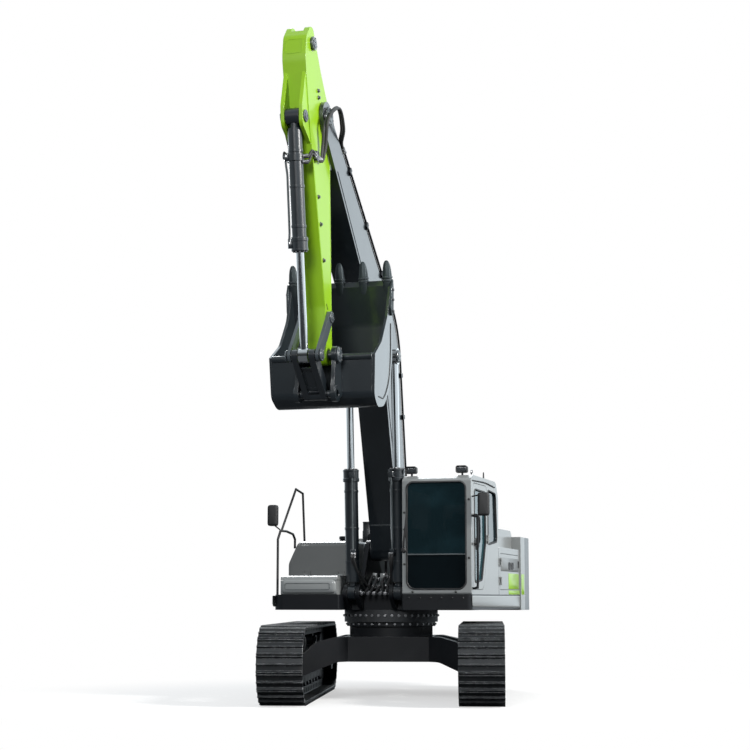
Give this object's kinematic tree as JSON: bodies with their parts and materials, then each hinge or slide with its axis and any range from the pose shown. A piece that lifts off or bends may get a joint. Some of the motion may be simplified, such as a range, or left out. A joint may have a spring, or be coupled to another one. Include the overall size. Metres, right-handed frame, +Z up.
{
  "type": "crawler excavator",
  "caption": "Tracked excavator with a closed cab, raised boom, green arm and curled bucket; swing, boom, arm, bucket, doors, hood and lid all move.",
  "frame": {"origin": "on the ground, on the swing axis", "axes": "+Z up, -Y towards the front of the upper structure, +X towards the cab"},
  "size_m": [4.1472, 7.8345, 8.4026],
  "materials": {
    "carbody": "black paint",
    "track_frame_left": "black paint",
    "track_frame_right": "black paint",
    "track_left": "dark steel",
    "track_right": "dark steel",
    "idlers": "dark steel",
    "sprockets": "dark steel",
    "bottom_rollers": "dark steel",
    "carrier_rollers": "dark steel",
    "swing_ring": "dark steel",
    "deck": "black paint",
    "counterweight": "silver grey paint",
    "cab_frame": "silver grey paint",
    "cab_glass": "tinted glass",
    "cab_door": "silver grey paint",
    "door_glass": "tinted glass",
    "seat": "black fabric",
    "cab_controls": "dark plastic",
    "engine_hood": "silver grey paint",
    "engine": "dark steel",
    "radiator_body": "silver grey paint",
    "radiator_door": "silver grey paint",
    "pump_body": "silver grey paint",
    "pump_door": "silver grey paint",
    "fuel_tank": "dark grey paint",
    "tool_box": "silver grey paint",
    "tool_box_lid": "silver grey paint",
    "exhaust": "dark steel",
    "handrails": "black paint",
    "mirrors": "black paint",
    "work_lamps": "black paint",
    "valve_block": "dark steel",
    "upper_pins": "bare steel",
    "boom": "black paint",
    "boom_pins": "bare steel",
    "boom_lines": "black paint",
    "boom_lamp": "black paint",
    "boom_cylinder_barrels": "black paint",
    "boom_cylinder_rods": "hard chrome",
    "arm_cylinder_barrel": "black paint",
    "arm_cylinder_rod": "hard chrome",
    "arm": "lime green paint",
    "arm_pins": "black paint",
    "bucket_cylinder_barrel": "black paint",
    "bucket_cylinder_rod": "hard chrome",
    "idler_links": "black paint",
    "power_link": "black paint",
    "bucket": "black paint",
    "bucket_sides": "black paint",
    "bucket_ears": "black paint",
    "bucket_cutters": "dark steel",
    "bucket_teeth": "dark steel"
  },
  "bodies": {
    "base": {"carbody": "carbody", "track_frame_left": "track_frame_left", "track_frame_right": "track_frame_right", "track_left": "track_left", "track_right": "track_right", "idlers": "idlers", "sprockets": "sprockets", "bottom_rollers": "bottom_rollers", "carrier_rollers": "carrier_rollers"},
    "upper": {"swing_ring": "swing_ring", "deck": "deck", "counterweight": "counterweight", "cab_frame": "cab_frame", "cab_glass": "cab_glass", "seat": "seat", "cab_controls": "cab_controls", "engine": "engine", "radiator_body": "radiator_body", "pump_body": "pump_body", "fuel_tank": "fuel_tank", "tool_box": "tool_box", "exhaust": "exhaust", "handrails": "handrails", "mirrors": "mirrors", "work_lamps": "work_lamps", "valve_block": "valve_block", "upper_pins": "upper_pins"},
    "cab_door": {"cab_door": "cab_door", "door_glass": "door_glass"},
    "engine_hood": {"engine_hood": "engine_hood"},
    "radiator_door": {"radiator_door": "radiator_door"},
    "pump_door": {"pump_door": "pump_door"},
    "tool_box_lid": {"tool_box_lid": "tool_box_lid"},
    "boom": {"boom": "boom", "boom_pins": "boom_pins", "boom_lines": "boom_lines", "boom_lamp": "boom_lamp"},
    "boom_barrels": {"boom_cylinder_barrels": "boom_cylinder_barrels"},
    "boom_rods": {"boom_cylinder_rods": "boom_cylinder_rods"},
    "arm_barrel": {"arm_cylinder_barrel": "arm_cylinder_barrel"},
    "arm_rod": {"arm_cylinder_rod": "arm_cylinder_rod"},
    "arm": {"arm": "arm", "arm_pins": "arm_pins"},
    "bucket_barrel": {"bucket_cylinder_barrel": "bucket_cylinder_barrel"},
    "bucket_rod": {"bucket_cylinder_rod": "bucket_cylinder_rod"},
    "idler_links": {"idler_links": "idler_links"},
    "power_link": {"power_link": "power_link"},
    "bucket": {"bucket": "bucket", "bucket_sides": "bucket_sides", "bucket_ears": "bucket_ears", "bucket_cutters": "bucket_cutters", "bucket_teeth": "bucket_teeth"}
  },
  "joints": [
    {"name": "swing", "type": "hinge", "parent": "base", "child": "upper", "pos_m": [0, 0, 0], "axis": [0, 0, 1], "continuous": true},
    {"name": "cab_door", "type": "hinge", "parent": "upper", "child": "cab_door", "pos_m": [1.435, -0.067, 2.2], "axis": [0, 0, 1], "range_deg": [0, 100]},
    {"name": "engine_hood", "type": "hinge", "parent": "upper", "child": "engine_hood", "pos_m": [0.33, 2.308, 2.435], "axis": [-1, 0, 0], "range_deg": [0, 60]},
    {"name": "radiator_door", "type": "hinge", "parent": "upper", "child": "radiator_door", "pos_m": [1.435, 0.823, 1.8], "axis": [0, 0, -1], "range_deg": [0, 100]},
    {"name": "pump_door", "type": "hinge", "parent": "upper", "child": "pump_door", "pos_m": [-1.435, 1.083, 1.8], "axis": [0, 0, 1], "range_deg": [0, 100]},
    {"name": "tool_box_lid", "type": "hinge", "parent": "upper", "child": "tool_box_lid", "pos_m": [-0.89, -0.395, 1.715], "axis": [-1, 0, 0], "range_deg": [0, 75]},
    {"name": "boom", "type": "hinge", "parent": "upper", "child": "boom", "pos_m": [0, -0.1, 2.08], "axis": [-1, 0, 0], "range_deg": [-90, 10]},
    {"name": "boom_cylinder_turn", "type": "hinge", "parent": "upper", "child": "boom_barrels", "pos_m": [0, -0.8, 1.47], "axis": [-1, 0, 0], "range_deg": [-95.69, 11.08]},
    {"name": "boom_cylinder_stroke", "type": "slide", "parent": "boom_barrels", "child": "boom_rods", "axis": [0, -0.0673, 0.9977], "range_m": [-1.29792, 0.14866]},
    {"name": "arm", "type": "hinge", "parent": "boom", "child": "arm", "pos_m": [0, -3.74766, 7.38737], "axis": [1, 0, 0], "range_deg": [-105, 0]},
    {"name": "arm_cylinder_turn", "type": "hinge", "parent": "boom", "child": "arm_barrel", "pos_m": [0, -0.62327, 5.5426], "axis": [1, 0, 0], "range_deg": [-6.82, 0.5]},
    {"name": "arm_cylinder_stroke", "type": "slide", "parent": "arm_barrel", "child": "arm_rod", "axis": [0, -0.8027, 0.5964], "range_m": [-1.41902, 0.005]},
    {"name": "bucket", "type": "hinge", "parent": "arm", "child": "bucket", "pos_m": [0, -3.46012, 4.40118], "axis": [1, 0, 0], "range_deg": [-135, 0]},
    {"name": "bucket_cylinder_turn", "type": "hinge", "parent": "arm", "child": "bucket_barrel", "pos_m": [0, -4.42394, 7.21175], "axis": [1, 0, 0], "range_deg": [-0.5, 3.89]},
    {"name": "bucket_cylinder_stroke", "type": "slide", "parent": "bucket_barrel", "child": "bucket_rod", "axis": [0, 0.1549, -0.9879], "range_m": [-1.03014, 0.005]},
    {"name": "idler_link", "type": "hinge", "parent": "arm", "child": "idler_links", "pos_m": [0, -3.52507, 4.8671], "axis": [1, 0, 0], "range_deg": [-95.78, 0.5]},
    {"name": "power_link", "type": "hinge", "parent": "idler_links", "child": "power_link", "pos_m": [0, -3.97182, 4.3282], "axis": [1, 0, 0], "range_deg": [-0.5, 67.67]}
  ],
  "couplings": [
    {"joint": "boom_cylinder_turn", "follows": "boom", "ratio": 1.0576},
    {"joint": "boom_cylinder_stroke", "follows": "boom", "m_per_rad": 0.8231},
    {"joint": "arm_cylinder_turn", "follows": "arm", "ratio": 0.06014},
    {"joint": "arm_cylinder_stroke", "follows": "arm", "m_per_rad": 0.7716},
    {"joint": "bucket_cylinder_turn", "follows": "bucket", "ratio": -0.0251},
    {"joint": "bucket_cylinder_stroke", "follows": "bucket", "m_per_rad": 0.43508},
    {"joint": "idler_link", "follows": "bucket", "ratio": 0.7058},
    {"joint": "power_link", "follows": "bucket", "ratio": -0.49758}
  ]
}
